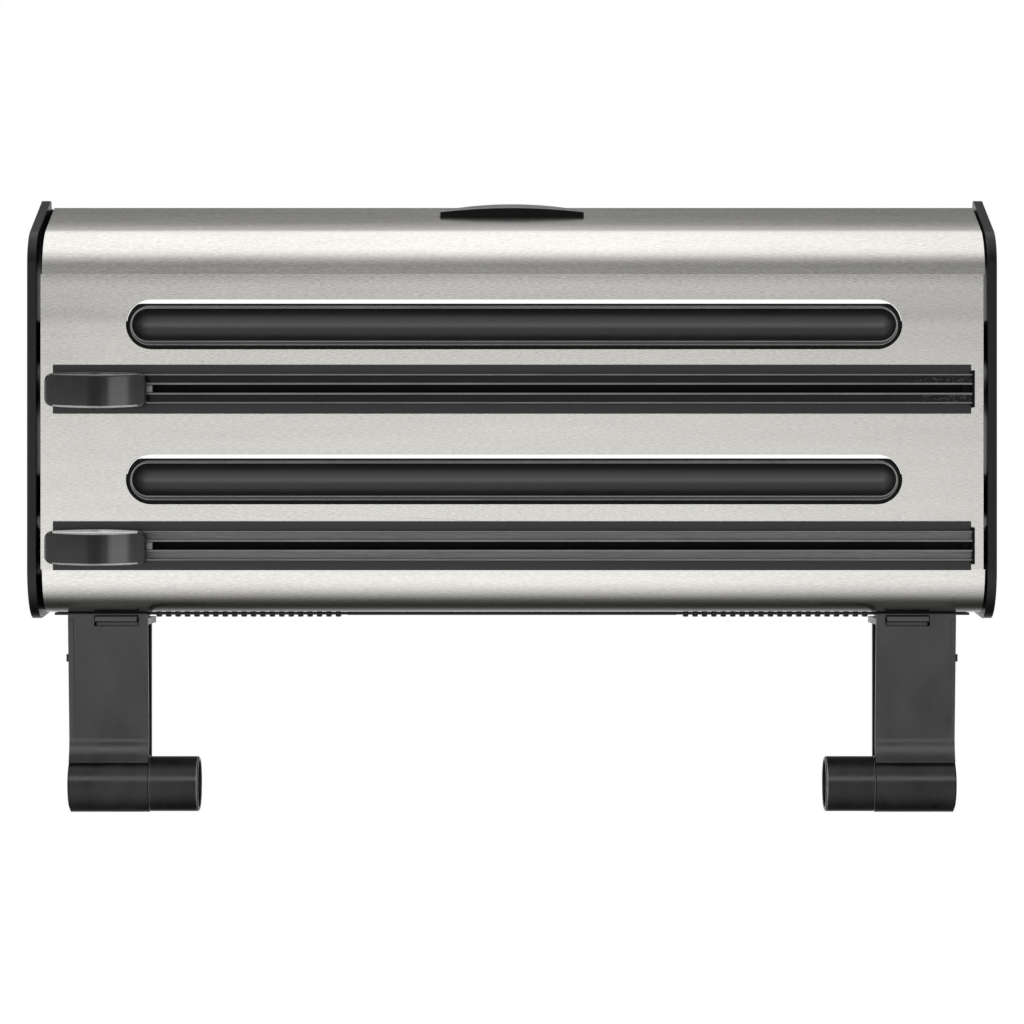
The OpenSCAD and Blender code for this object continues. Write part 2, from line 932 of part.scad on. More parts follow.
module film_trough(row) {
    groove_x = trough_l / 2 - trough_h / 2 + groove_lift;
    groove_y = face_y + trough_recess - groove_out;
    groove_z = trough_z(row) + groove_lift;
    back_y = liner_y + liner_t;
    color(black_tone)
        difference() {
            union() {
                along_y(face_y + trough_recess + bead_t, face_y + trough_recess + trough_d)
                    translate([window_x, trough_z(row)])
                        stadium(trough_l, trough_h);
                along_y(face_y + trough_recess, face_y + trough_recess + 2 * bead_t)
                    translate([window_x, trough_z(row) + bead_lift])
                        stadium(trough_l - 2 * bead_in, trough_h - 2 * bead_in);
                block(
                    [window_x - flange_l / 2, back_y, trough_foot_z(row) - flange_h],
                    [window_x + flange_l / 2, back_y + flange_t, trough_z(row)]
                );
            }
            rod_x(window_x - groove_x, window_x + groove_x, [groove_y, groove_z], groove_r);
            for (end = [-1, 1])
                translate([window_x + end * groove_x, groove_y, groove_z])
                    sphere(groove_r);
            trough_screw_rods(row, trough_screw_r);
        }
}

module upper_film_trough() {
    film_trough(1);
}

module lower_film_trough() {
    film_trough(0);
}

module trough_screws() {
    color(screw_tone)
        for (row = [0, 1]) {
            trough_screw_rods(row, trough_screw_r);
            for (share = trough_screw_spots)
                rod_y(
                    liner_y + liner_t + flange_t, liner_y + liner_t + flange_t + trough_head_t,
                    [window_x + share * flange_l / 2, trough_foot_z(row) - flange_h / 2], trough_head_r
                );
        }
}

// Square that runs outwards from the steel, between two heights about the rail's middle
module rail_bar(low_t, high_t, low_z, high_z) {
    translate([face_y - high_t, low_z])
        square([high_t - low_t, high_z - low_z]);
}

module cutter_rail(row) {
    color(gloss_tone)
        translate([0, 0, rail_z(row)]) {
            along_x(-rail_x, rail_x)
                difference() {
                    union() {
                        rail_bar(0, rail_flange_t, -rail_h / 2, rail_h / 2);
                        rail_bar(0, groove_t, -core_h / 2, core_h / 2);
                        for (edge = [-1, 1]) {
                            mid = edge * (core_h - ridge_w) / 2;
                            rim = edge * (mouth_h + mouth_ridge_h) / 2;
                            rail_bar(0, rail_t, mid - ridge_w / 2, mid + ridge_w / 2);
                            rail_bar(0, rail_t, rim - mouth_ridge_h / 2, rim + mouth_ridge_h / 2);
                        }
                    }
                    rail_bar(chamber_low_t, chamber_high_t, -chamber_h / 2, chamber_h / 2);
                    rail_bar(chamber_low_t, rail_t + over, -mouth_h / 2, mouth_h / 2);
                }
            for (share = foot_shares, edge = [-1, 1])
                translate([share * rail_x, 0, edge * foot_z]) {
                    block(
                        [-foot_l / 2, face_y, -foot_w / 2],
                        [foot_l / 2, liner_y + liner_t + barb_l, foot_w / 2]
                    );
                    rotate([0, edge < 0 ? 180 : 0, 0])
                        along_x(-foot_l / 2, foot_l / 2)
                            polygon([
                                [liner_y + liner_t, foot_w / 2],
                                [liner_y + liner_t, foot_w / 2 + barb],
                                [liner_y + liner_t + barb_l, foot_w / 2]
                            ]);
                }
        }
}

module upper_cutter_rail() {
    cutter_rail(1);
}

module lower_cutter_rail() {
    cutter_rail(0);
}

module rail_plug(x0, x1) {
    along_x(x0, x1)
        rail_bar(
            chamber_low_t + plug_gap, chamber_high_t - plug_gap,
            plug_gap - chamber_h / 2, chamber_h / 2 - plug_gap
        );
}

module rail_ends(row) {
    color(black_tone)
        translate([0, 0, rail_z(row)]) {
            along_x(rail_x, rail_x + cap_t)
                rail_bar(cap_out, rail_t + cap_out, -cap_h / 2, cap_h / 2);
            rail_plug(rail_x - rail_plug_l, rail_x);
            rail_plug(-rail_x, left_plug_l - rail_x);
        }
}

module upper_rail_ends() {
    rail_ends(1);
}

module lower_rail_ends() {
    rail_ends(0);
}

// Release button

module button_guide() {
    wall_y = button_y - guide_gap - guide_t;
    wall_z = slope_z(wall_y) - face_drop - (steel_t + liner_t) / cos(top_slope);
    color(dark_tone)
        along_x(-guide_w / 2, guide_w / 2)
            polygon([
                [wall_y, guide_z - guide_t],
                [wall_y, wall_z],
                [wall_y + guide_t, wall_z + guide_t * tan(top_slope)],
                [wall_y + guide_t, guide_z],
                [button_y + guide_run, guide_z],
                [button_y + guide_run, guide_z - guide_t]
            ]);
}

module button_springs() {
    color(screw_tone)
        for (side = [-1, 1])
            translate([side * spring_x, button_y + spring_y, guide_z])
                difference() {
                    cylinder(h = spring_h, r = spring_r);
                    translate([0, 0, -over])
                        cylinder(h = spring_h + 2 * over, r = spring_r - spring_wire);
                }
}

module release_button() {
    crest_z = slope_z(button_y) - face_drop + button_rise;
    color(gloss_tone)
        intersection() {
            translate([0, 0, button_foot_z])
                linear_extrude(crest_z - button_foot_z + button_run)
                    bow(0);
            translate([0, button_y, crest_z])
                rotate([button_tilt, 0, 0])
                    translate([0, 0, -crown_r])
                        rod_y(-button_run, 2 * button_run, [0, 0], crown_r, $fn = crown_steps);
        }
}

module latch_hook() {
    claw_y = beam_y + beam_t + claw_gap;
    tip_z = beam_foot_z + claw_hold - button_travel;
    color(dark_tone) {
        block(
            [-latch_w / 2, button_y + latch_front, latch_z],
            [latch_w / 2, button_y + latch_run, latch_z + latch_t]
        );
        for (side = [-1, 1])
            translate([side * (latch_w - claw_w) / 2, 0, 0]) {
                block(
                    [-claw_w / 2, button_y + latch_run / 2, latch_z],
                    [claw_w / 2, claw_y + claw_l, latch_z + latch_t]
                );
                block([-claw_w / 2, claw_y, latch_z], [claw_w / 2, claw_y + claw_l, tip_z]);
            }
    }
}

// Cutters

module knob_side_view() {
    r = knob_front_r;
    difference() {
        union() {
            translate([knob_x, knob_foot_t])
                square([knob_l, knob_t - knob_foot_t - r]);
            translate([knob_x + r, knob_foot_t])
                square([knob_l - 2 * r, knob_t - knob_foot_t]);
            for (x = [knob_x + r, knob_end_x - r])
                translate([x, knob_t - r])
                    circle(r);
        }
        translate([knob_x + saddle_share * knob_l, knob_t + saddle_r - saddle_sink])
            circle(saddle_r);
    }
}

// Turns a view in x and stand-off into a solid between two heights
module off_steel(z0, z1) {
    translate([0, face_y, z0])
        linear_extrude(z1 - z0)
            mirror([0, 1])
                children();
}

module cutter_blade_shape(row) {
    x0 = knob_x + blade_shares[0] * knob_l;
    x1 = knob_x + blade_shares[1] * knob_l;
    x2 = knob_x + blade_shares[2] * knob_l;
    off_steel(rail_z(row) - blade_t / 2, rail_z(row) + blade_t / 2)
        polygon([[x0, head_high_t], [x1, head_high_t], [x2, blade_top_t], [x0, blade_top_t]]);
}

module cutter_knob(row) {
    throat_x0 = knob_x + blade_shares[1] * knob_l;
    throat_x1 = knob_x + throat_end_share * knob_l;
    color(gloss_tone)
        difference() {
            intersection() {
                off_steel(rail_z(row) - knob_drop - knob_h / 2, rail_z(row) - knob_drop + knob_h / 2)
                    knob_side_view();
                along_y(face_y - knob_t - over, face_y)
                    translate([knob_x + knob_l / 2, rail_z(row) - knob_drop])
                        rounded_rectangle(knob_l, knob_h, knob_corner_r);
            }
            off_steel(rail_z(row) - throat_w / 2, rail_z(row) + throat_w / 2)
                translate([throat_x0, knob_foot_t - over])
                    square([throat_x1 - throat_x0, blade_top_t + throat_gap - knob_foot_t + over]);
            cutter_blade_shape(row);
            knob_pin_rods(row, knob_pin_r);
        }
}

module knob_pin_rods(row, r) {
    for (share = knob_pin_shares)
        rod_y(face_y - knob_pin_top_t, face_y - head_low_t, [knob_x + share * knob_l, rail_z(row)], r);
}

module knob_pin_heads(row) {
    for (share = knob_pin_shares)
        rod_y(
            face_y - head_low_t - knob_pin_head_t, face_y - head_low_t,
            [knob_x + share * knob_l, rail_z(row)], knob_pin_head_r
        );
}

module cutter_shoe(row) {
    throat_x0 = knob_x + blade_shares[1] * knob_l;
    throat_x1 = knob_x + throat_end_share * knob_l;
    color(grey_tone)
        difference() {
            union() {
                off_steel(rail_z(row) - head_w / 2, rail_z(row) + head_w / 2)
                    translate([shoe_x, head_low_t])
                        square([tab_end_x - shoe_x, head_high_t - head_low_t]);
                off_steel(rail_z(row) - neck_w / 2, rail_z(row) + neck_w / 2) {
                    translate([shoe_x, head_low_t])
                        square([throat_x0 - shoe_x, knob_foot_t - head_low_t]);
                    translate([throat_x1, head_low_t])
                        square([tab_end_x - throat_x1, tab_t - head_low_t]);
                }
            }
            cutter_blade_shape(row);
            knob_pin_rods(row, knob_pin_r);
            knob_pin_heads(row);
        }
}

module cutter_pins(row) {
    color(screw_tone) {
        knob_pin_rods(row, knob_pin_r);
        knob_pin_heads(row);
    }
}

module upper_cutter_knob() {
    cutter_knob(1);
}

module lower_cutter_knob() {
    cutter_knob(0);
}

module upper_cutter_shoe() {
    cutter_shoe(1);
}

module lower_cutter_shoe() {
    cutter_shoe(0);
}

module upper_cutter_blade() {
    color(steel_tone)
        cutter_blade_shape(1);
}

module lower_cutter_blade() {
    color(steel_tone)
        cutter_blade_shape(0);
}

module upper_knob_pins() {
    cutter_pins(1);
}

module lower_knob_pins() {
    cutter_pins(0);
}

// Arms

// Depth of the front plate's outer face at a share of the way down to the flare
function plate_point(share, t) = [
    arm_front_y + arm_lean * share + t,
    arm_top_z + (flare_z - arm_top_z) * share
];

// The lip swings forward on a parabola
function flare_point(share, t) = [
    arm_front_y + arm_lean - lip_flare * share * share + t,
    flare_z - lip_h * share
];

flare_shares = [0, 0.25, 0.5, 0.75, 1];
wall_shares = [0, 0.25, 0.5];

module boss_shape(gap) {
    translate([spigot_y, spigot_z])
        circle(spigot_r + boss_rim + gap);
}

module arm_cover(side) {
    count = len(flare_shares);
    window_z0 = press_z - press_h - pawl_travel - press_drop;
    color(dark_tone)
        on_side(side)
            difference() {
                union() {
                    along_x(arm_in_x, arm_x)
                        polygon(concat(
                            [plate_point(0, cover_t), plate_point(0, 0)],
                            [for (share = flare_shares) flare_point(share, 0)],
                            [for (i = [1 : count]) flare_point(flare_shares[count - i], cover_t)]
                        ));
                    along_x(arm_x - skirt_t, arm_x)
                        polygon([
                            plate_point(0, skirt_d) - [0, skirt_drop],
                            plate_point(0, 0) - [0, skirt_drop],
                            plate_point(1, 0),
                            plate_point(1, skirt_d)
                        ]);
                }
                along_x(arm_in_x - over, arm_x + over)
                    boss_shape(run_gap);
                block(
                    [pawl_x - slide_gap, arm_front_y - over, window_z0],
                    [pawl_x + pawl_w + slide_gap, arm_front_y + cover_t + over, arm_top_z - window_edge]
                );
                arm_lug(lug_gap);
            }
}

module arm_lug(gap) {
    y = plate_point(0, cover_t).x;
    block(
        [wall_x - over, y + slide_gap - gap, hinge_z - lug_drop - lug_h / 2 - gap],
        [arm_x + lug_out, y + slide_gap + lug_d + gap, hinge_z - lug_drop + lug_h / 2 + gap]
    );
}

module arm_body(side) {
    pawl_low_x = pawl_x - pawl_gap;
    pawl_high_x = pawl_x + pawl_w + pawl_gap;
    pawl_end_y = pawl_y + pawl_d + pawl_gap;
    color(dark_tone)
        on_side(side)
            difference() {
                union() {
                    along_x(arm_in_x, wall_x)
                        translate([arm_back_y - arm_t, spigot_z])
                            square([arm_t, shelf_z - spigot_z]);
                    along_x(wall_x - arm_t, wall_x)
                        polygon(concat(
                            [[arm_back_y, shelf_z], [plate_y(shelf_z) + cover_t, shelf_z]],
                            [for (share = wall_shares) flare_point(share, cover_t)],
                            [[spigot_y, spigot_z], [arm_back_y, spigot_z]]
                        ));
                    along_x(arm_in_x, arm_x - boss_play)
                        boss_shape(0);
                    difference() {
                        block(
                            [arm_in_x, plate_y(shelf_z - shelf_t) + cover_t, shelf_z - shelf_t],
                            [wall_x, arm_back_y + shelf_over, shelf_z]
                        );
                        block(
                            [pawl_low_x, arm_front_y, shelf_z - shelf_t - over],
                            [pawl_high_x, pawl_end_y, shelf_z + over]
                        );
                    }
                    arm_lug(0);
                }
                rod_x(arm_in_x - over, arm_x + over, [spigot_y, spigot_z], axle_r + run_gap);
                slider_screw_rods(slider_screw_r);
            }
}

module slider_screw_rods(r) {
    for (share = slider_screw_shares)
        translate([arm_in_x + share * (wall_x - arm_in_x), slider_y, shelf_z - shelf_t])
            cylinder(h = slider_screw_l, r = r);
}

module arm_slider(side) {
    head_w = track_d - 2 * track_t - 2 * slider_gap;
    neck = track_mouth - 2 * slider_gap;
    color(grey_tone)
        on_side(side)
            difference() {
                along_x(arm_in_x + slider_inset, wall_x - slider_inset) {
                    translate([slider_y - neck / 2, shelf_z])
                        square([neck, lip_top_z + slide_gap + slider_h - shelf_z]);
                    translate([slider_y - head_w / 2, lip_top_z + slide_gap])
                        square([head_w, slider_h]);
                }
                slider_screw_rods(slider_screw_r);
            }
}

module slider_screws(side) {
    color(screw_tone)
        on_side(side) {
            slider_screw_rods(slider_screw_r);
            for (share = slider_screw_shares)
                translate([
                    arm_in_x + share * (wall_x - arm_in_x), slider_y, shelf_z - shelf_t - slider_head_t
                ])
                    cylinder(h = slider_head_t, r = slider_head_r);
        }
}

module pawl(side) {
    tooth_step = pawl_w / pawl_teeth;
    block_z = pawl_tip_z - pawl_tooth_h;
    color(black_tone)
        on_side(side) {
            block(
                [pawl_x, pawl_y, pawl_floor_z],
                [pawl_x + pawl_w, pawl_y + pawl_d, block_z]
            );
            block(
                [pawl_x, arm_front_y - press_out, press_z - press_h],
                [pawl_x + pawl_w, rack_y - slide_gap, press_z]
            );
            block(
                [pawl_x, arm_front_y, press_z - press_h],
                [pawl_x + pawl_w, pawl_y + press_root, pawl_tip_z]
            );
            for (i = [0 : pawl_teeth - 1])
                translate([pawl_x + (i + 0.5) * tooth_step, pawl_y + tooth_run, block_z])
                    rotate([90, 0, 0])
                        linear_extrude(tooth_run - slide_gap)
                            polygon([
                                [-tooth_w / 2, 0],
                                [tooth_w / 2, 0],
                                [pawl_tooth_tip_w / 2, pawl_tooth_h],
                                [-pawl_tooth_tip_w / 2, pawl_tooth_h]
                            ]);
            block(
                [pawl_x + (pawl_w - leaf_w) / 2, leaf_y, pawl_floor_z - leaf_l],
                [pawl_x + (pawl_w + leaf_w) / 2, leaf_y + leaf_t, pawl_floor_z]
            );
        }
}

// Solid of revolution along X, from a list of [x, radius] points
module turned_x(points) {
    translate([0, spigot_y, spigot_z])
        rotate([0, 90, 0])
            rotate_extrude()
                polygon([for (p = points) [p[1], p[0]]]);
}

module spigot(side) {
    base_x = arm_in_x - spigot_gap;
    tip_x = base_x - spigot_l;
    cup_x = tip_x + spigot_cup;
    cup_r = spigot_r - spigot_wall;
    color(dark_tone)
        on_side(side)
            turned_x([
                [base_x, axle_r],
                [base_x, spigot_r],
                [tip_x + spigot_edge, spigot_r],
                [tip_x, spigot_r - spigot_edge],
                [tip_x, cup_r],
                [cup_x, cup_r],
                [cup_x, axle_r]
            ]);
}

module spigot_axle(side) {
    tip_x = arm_in_x - spigot_gap - spigot_l + spigot_cup;
    color(black_tone)
        on_side(side)
            turned_x(concat(
                [[tip_x, 0], [tip_x, axle_r], [arm_x, axle_r], [arm_x, dome_r]],
                [for (share = dome_shares)
                    [arm_x + dome_edge + (dome_h - dome_edge) * (1 - share * share), dome_r * share]]
            ));
}

module left_arm_body() {
    arm_body(-1);
}

module left_arm_cover() {
    arm_cover(-1);
}

module left_arm_slider() {
    arm_slider(-1);
}

module left_slider_screws() {
    slider_screws(-1);
}

module right_arm_body() {
    arm_body(1);
}

module right_arm_cover() {
    arm_cover(1);
}

module right_arm_slider() {
    arm_slider(1);
}

module right_slider_screws() {
    slider_screws(1);
}

module left_pawl() {
    pawl(-1);
}

module right_pawl() {
    pawl(1);
}

module left_spigot() {
    spigot(-1);
}

module left_spigot_axle() {
    spigot_axle(-1);
}

module right_spigot() {
    spigot(1);
}

module right_spigot_axle() {
    spigot_axle(1);
}

left_cheek();
right_cheek();
top_beam();
rear_frame();
arm_track();
toothed_rail();
rack_screws();
cheek_screws();
upper_roll_cradle();
lower_roll_cradle();
left_hinge_pin();
right_hinge_pin();
steel_fascia();
cover_liner();
left_end_bracket();
right_end_bracket();
upper_film_trough();
lower_film_trough();
trough_screws();
upper_cutter_rail();
lower_cutter_rail();
upper_rail_ends();
lower_rail_ends();
button_guide();
button_springs();
release_button();
latch_hook();
upper_cutter_knob();
upper_cutter_shoe();
upper_cutter_blade();
upper_knob_pins();
lower_cutter_knob();
lower_cutter_shoe();
lower_cutter_blade();
lower_knob_pins();
left_arm_body();
left_arm_cover();
left_arm_slider();
left_slider_screws();
right_arm_body();
right_arm_cover();
right_arm_slider();
right_slider_screws();
left_pawl();
right_pawl();
left_spigot();
left_spigot_axle();
right_spigot();
right_spigot_axle();
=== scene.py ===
import json
from math import atan2, cos, pi, radians, sin, sqrt, tan

import bmesh
import bpy
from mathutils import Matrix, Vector


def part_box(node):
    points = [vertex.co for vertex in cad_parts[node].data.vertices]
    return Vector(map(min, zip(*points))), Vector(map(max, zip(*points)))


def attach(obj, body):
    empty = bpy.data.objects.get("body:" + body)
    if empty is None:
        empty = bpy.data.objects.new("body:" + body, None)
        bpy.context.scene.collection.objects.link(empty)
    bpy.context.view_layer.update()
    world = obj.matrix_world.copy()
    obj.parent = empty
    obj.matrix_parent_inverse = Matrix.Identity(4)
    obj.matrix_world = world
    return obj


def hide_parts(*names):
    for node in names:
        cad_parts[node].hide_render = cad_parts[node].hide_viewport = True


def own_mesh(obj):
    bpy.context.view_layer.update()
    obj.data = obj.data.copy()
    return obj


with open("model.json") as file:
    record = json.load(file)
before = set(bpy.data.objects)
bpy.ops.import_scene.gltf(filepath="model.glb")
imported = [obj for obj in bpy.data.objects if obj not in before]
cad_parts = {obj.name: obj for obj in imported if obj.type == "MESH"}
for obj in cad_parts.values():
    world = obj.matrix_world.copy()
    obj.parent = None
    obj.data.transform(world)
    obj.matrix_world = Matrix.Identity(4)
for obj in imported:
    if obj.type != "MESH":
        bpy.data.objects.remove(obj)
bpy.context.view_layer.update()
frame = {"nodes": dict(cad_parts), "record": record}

mm = 0.001
foldLimit = radians(28)  # a sharper edge than this is a fold: it gets softened and ends smooth shading


# small tools

def linearColour(text):  # sRGB hex to what a shader socket takes
    values = [int(text[i:i + 2], 16) / 255 for i in (1, 3, 5)]
    return (*[v / 12.92 if v <= 0.04045 else ((v + 0.055) / 1.055) ** 2.4 for v in values], 1.0)


def addNode(tree, kind, settings=None, links=None):  # one node with its settings and what feeds it
    node = tree.nodes.new(kind)
    for name, value in (settings or {}).items():
        if isinstance(name, int) or name in node.inputs:
            node.inputs[name].default_value = value
        else:
            setattr(node, name, value)
    for name, source in (links or {}).items():
        tree.links.new(source, node.inputs[name])
    return node


def colourStops(node, stops):  # fills a colour ramp from (place, colour) pairs
    elements = node.color_ramp.elements
    while len(elements) < len(stops):
        elements.new(0.5)
    for element, (place, colour) in zip(elements, stops):
        element.position = place
        element.color = colour


# finishes

toneRange = (0.3, 0.7)  # the part of the noise that runs from the dark tone to the light one
bowSteps = 30  # a colour ramp holds 32 stops
scuffLook = {"perMetre": (500, 900, 1400), "colour": "#5d5d5c", "reach": 0.16, "shown": (0.66, 0.74)}


def bowHeight(tree, place, look):  # height of a gentle bow along Z, summed up from the leans in the table
    top, foot = look["bow"][0][0], look["bow"][-1][0]
    rise = (top - foot) / bowSteps
    heights = [0.0]
    for step in range(bowSteps):
        z = foot + (step + 0.5) * rise
        above, below = next(
            (a, b) for a, b in zip(look["bow"], look["bow"][1:]) if b[0] <= z <= a[0]
        )
        lean = below[1] + (above[1] - below[1]) * (z - below[0]) / (above[0] - below[0])
        turn = min(max(z, look["bowFrom"][0]), look["bowFrom"][1]) - look["bowFrom"][0]
        slant = sqrt(1 - (turn / look["bowRadius"]) ** 2)  # rise per length of sheet
        heights.append(heights[-1] - tan(radians(lean)) * rise / slant)
    low, high = min(heights), max(heights)
    share = addNode(
        tree, "ShaderNodeMapRange", {"From Min": foot * mm, "From Max": top * mm},
        {"Value": addNode(tree, "ShaderNodeSeparateXYZ", links={"Vector": place}).outputs["Z"]},
    ).outputs["Result"]
    curve = addNode(tree, "ShaderNodeValToRGB", links={"Fac": share})
    curve.color_ramp.interpolation = "B_SPLINE"
    colourStops(curve, [
        (step / bowSteps, (*[(height - low) / (high - low)] * 3, 1.0)) for step, height in enumerate(heights)
    ])
    return addNode(
        tree, "ShaderNodeMath", {"operation": "MULTIPLY", 1: (high - low) * mm}, {0: curve.outputs["Color"]}
    ).outputs[0]


def makeFinish(name, look):
    material = bpy.data.materials.new(name)
    material.use_nodes = True
    tree = material.node_tree
    tree.nodes.clear()
    place = addNode(tree, "ShaderNodeTexCoord").outputs["Object"]
    grainScale = [1 / (size * mm) for size in look["grain"]]
    cloudScale = [1 / (size * mm) for size in look["cloud"]]
    grainPlace = addNode(tree, "ShaderNodeMapping", {"Scale": grainScale}, {"Vector": place})
    cloudPlace = addNode(tree, "ShaderNodeMapping", {"Scale": cloudScale}, {"Vector": place})
    grain = addNode(
        tree, "ShaderNodeTexNoise",
        {"Scale": 1.0, "Detail": look.get("grainDetail", 3.0), "Roughness": 0.6},
        {"Vector": grainPlace.outputs["Vector"]},
    ).outputs["Fac"]
    cloud = addNode(
        tree, "ShaderNodeTexNoise", {"Scale": 1.0, "Detail": 3.0, "Roughness": 0.55},
        {"Vector": cloudPlace.outputs["Vector"]},
    ).outputs["Fac"]
    share = look.get("grainShare", 0.3)
    mixed = addNode(
        tree, "ShaderNodeMix", {"data_type": "FLOAT", "Factor": share}, {2: cloud, 3: grain}
    ).outputs[0]
    tone = addNode(tree, "ShaderNodeValToRGB", links={"Fac": mixed})
    colourStops(tone, list(zip(toneRange, (linearColour(look["dark"]), linearColour(look["light"])))))
    low, high = look["roughness"]
    rough = addNode(
        tree, "ShaderNodeMapRange",
        {"From Min": toneRange[0], "From Max": toneRange[1], "To Min": low, "To Max": high}, {"Value": mixed},
    ).outputs["Result"]
    relief = addNode(
        tree, "ShaderNodeBump",
        {"Strength": look["relief"], "Distance": look["reliefDepth"] * mm}, {"Height": grain},
    ).outputs["Normal"]
    if "bow" in look:
        relief = addNode(
            tree, "ShaderNodeBump", {"Strength": 1.0, "Distance": 1.0},
            {"Height": bowHeight(tree, place, look), "Normal": relief},
        ).outputs["Normal"]
    colour = tone.outputs["Color"]
    if "scuff" in look:  # pale rubbed specks that thicken towards one end, in mm along X
        start, end = look["scuff"]
        along = addNode(tree, "ShaderNodeSeparateXYZ", links={"Vector": place}).outputs["X"]
        reach = addNode(
            tree, "ShaderNodeMapRange",
            {"From Min": start * mm, "From Max": end * mm, "To Min": 0.0, "To Max": scuffLook["reach"]},
            {"Value": along},
        ).outputs["Result"]
        speckPlace = addNode(
            tree, "ShaderNodeMapping", {"Scale": scuffLook["perMetre"]}, {"Vector": place}
        )
        speck = addNode(
            tree, "ShaderNodeTexNoise", {"Scale": 1.0, "Detail": 5.0, "Roughness": 0.75},
            {"Vector": speckPlace.outputs["Vector"]},
        ).outputs["Fac"]
        worn = addNode(tree, "ShaderNodeMath", {"operation": "ADD"}, {0: speck, 1: reach}).outputs[0]
        shown = addNode(tree, "ShaderNodeValToRGB", links={"Fac": worn})
        colourStops(shown, list(zip(scuffLook["shown"], ((0, 0, 0, 1), (1, 1, 1, 1)))))
        colour = addNode(
            tree, "ShaderNodeMix", {"data_type": "RGBA", 7: linearColour(scuffLook["colour"])},
            {"Factor": shown.outputs["Color"], 6: colour},
        ).outputs[2]
    shader = addNode(
        tree, "ShaderNodeBsdfPrincipled",
        {"Metallic": look.get("metallic", 0.0), "Specular IOR Level": look.get("shine", 0.5)},
        {"Base Color": colour, "Roughness": rough, "Normal": relief},
    )
    addNode(tree, "ShaderNodeOutputMaterial", links={"Surface": shader.outputs["BSDF"]})
    return material


